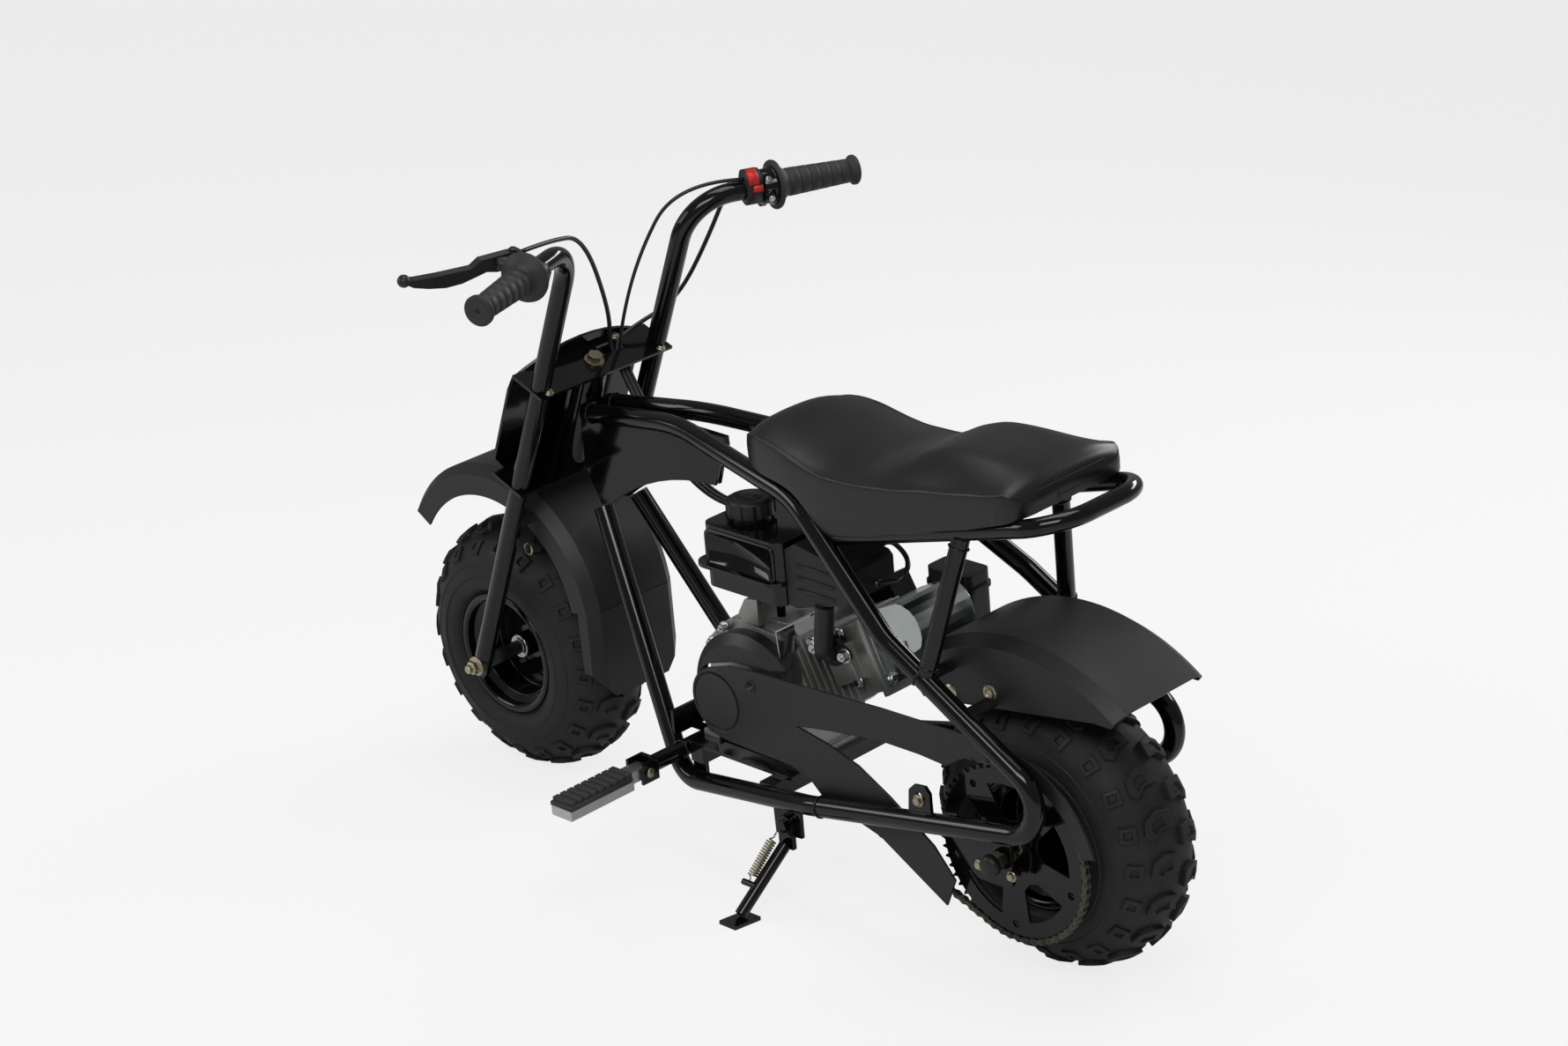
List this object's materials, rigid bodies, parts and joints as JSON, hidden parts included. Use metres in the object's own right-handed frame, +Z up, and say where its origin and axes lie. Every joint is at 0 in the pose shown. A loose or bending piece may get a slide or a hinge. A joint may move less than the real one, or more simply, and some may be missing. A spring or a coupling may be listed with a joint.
{
  "type": "minibike",
  "caption": "Small off-road minibike on fat knobbly tyres, with a tube frame, chain drive and a high handlebar, leaning on its side stand.",
  "frame": {"origin": "centre of the footprint of the whole bike at floor level, as it leans on its side stand", "axes": "+X forward along the bike, +Y to the rider's left, +Z up"},
  "size_m": [1.2908, 0.7194, 0.8608],
  "materials": {
    "gloss_black": "gloss",
    "charcoal_plastic": "matte",
    "seat_vinyl": "satin",
    "grip_rubber": "matte",
    "tyre_rubber": "matte",
    "cable_black": "satin",
    "cast_alloy": "cast",
    "galvanised": "bright",
    "zinc_steel": "satin",
    "chain_steel": "satin",
    "peg_alloy": "satin",
    "dark_metal": "matte"
  },
  "bodies": {
    "chassis": {"neck": "gloss_black", "upper_tubes": "gloss_black", "rear_loops": "gloss_black", "lower_tubes": "gloss_black", "seat_frame": "gloss_black", "footpeg_bar": "gloss_black", "engine_mount": "gloss_black", "axle_brackets": "gloss_black", "stand_bracket": "gloss_black", "seat": "seat_vinyl", "rear_fender": "charcoal_plastic", "chain_guard": "charcoal_plastic", "chain": "chain_steel", "crankcase": "cast_alloy", "engine_cylinder": "cast_alloy", "heat_shields": "galvanised", "fuel_tank": "gloss_black", "tank_cap": "charcoal_plastic", "fan_shroud": "gloss_black", "air_filter": "charcoal_plastic", "muffler": "dark_metal", "carburettor": "cast_alloy", "clutch": "cast_alloy", "rear_axle": "zinc_steel", "brake_caliper": "dark_metal", "frame_cables": "cable_black"},
    "steering": {"fork_left": "gloss_black", "fork_right": "gloss_black", "fork_yoke": "gloss_black", "steering_stem": "zinc_steel", "front_axle": "zinc_steel", "front_fender": "charcoal_plastic", "grips": "grip_rubber", "brake_lever": "charcoal_plastic", "throttle_housing": "charcoal_plastic", "bar_cables": "cable_black"},
    "front_wheel": {"front_tyre": "tyre_rubber", "front_rim": "gloss_black"},
    "rear_wheel": {"rear_tyre": "tyre_rubber", "rear_rim": "gloss_black", "sprocket": "gloss_black", "brake_disc": "zinc_steel"},
    "side_stand": {"stand_leg": "gloss_black"},
    "footpeg_left": {"footpeg_left": "peg_alloy"},
    "footpeg_right": {"footpeg_right": "peg_alloy"}
  },
  "joints": [
    {"name": "steering", "type": "hinge", "parent": "chassis", "child": "steering", "pos_m": [0.4772, -0.05412, 0.18074], "axis": [-0.3907, 0.1042, 0.9146], "range_deg": [-35, 35]},
    {"name": "front_wheel_spin", "type": "hinge", "parent": "steering", "child": "front_wheel", "pos_m": [0.468, -0.05456, 0.17686], "axis": [0, 0.9936, -0.1132], "continuous": true},
    {"name": "rear_wheel_spin", "type": "hinge", "parent": "chassis", "child": "rear_wheel", "pos_m": [-0.468, -0.05456, 0.17686], "axis": [0, 0.9936, -0.1132], "continuous": true},
    {"name": "side_stand_fold", "type": "hinge", "parent": "chassis", "child": "side_stand", "pos_m": [-0.121, 0.06545, 0.10833], "axis": [0, 0.9936, -0.1132], "range_deg": [0, 80]},
    {"name": "footpeg_left_fold", "type": "hinge", "parent": "chassis", "child": "footpeg_left", "pos_m": [0.094, 0.1076, 0.13373], "axis": [1, 0, 0], "range_deg": [0, 80]},
    {"name": "footpeg_right_fold", "type": "hinge", "parent": "chassis", "child": "footpeg_right", "pos_m": [0.094, -0.22227, 0.17131], "axis": [-1, 0, 0], "range_deg": [0, 80]}
  ]
}
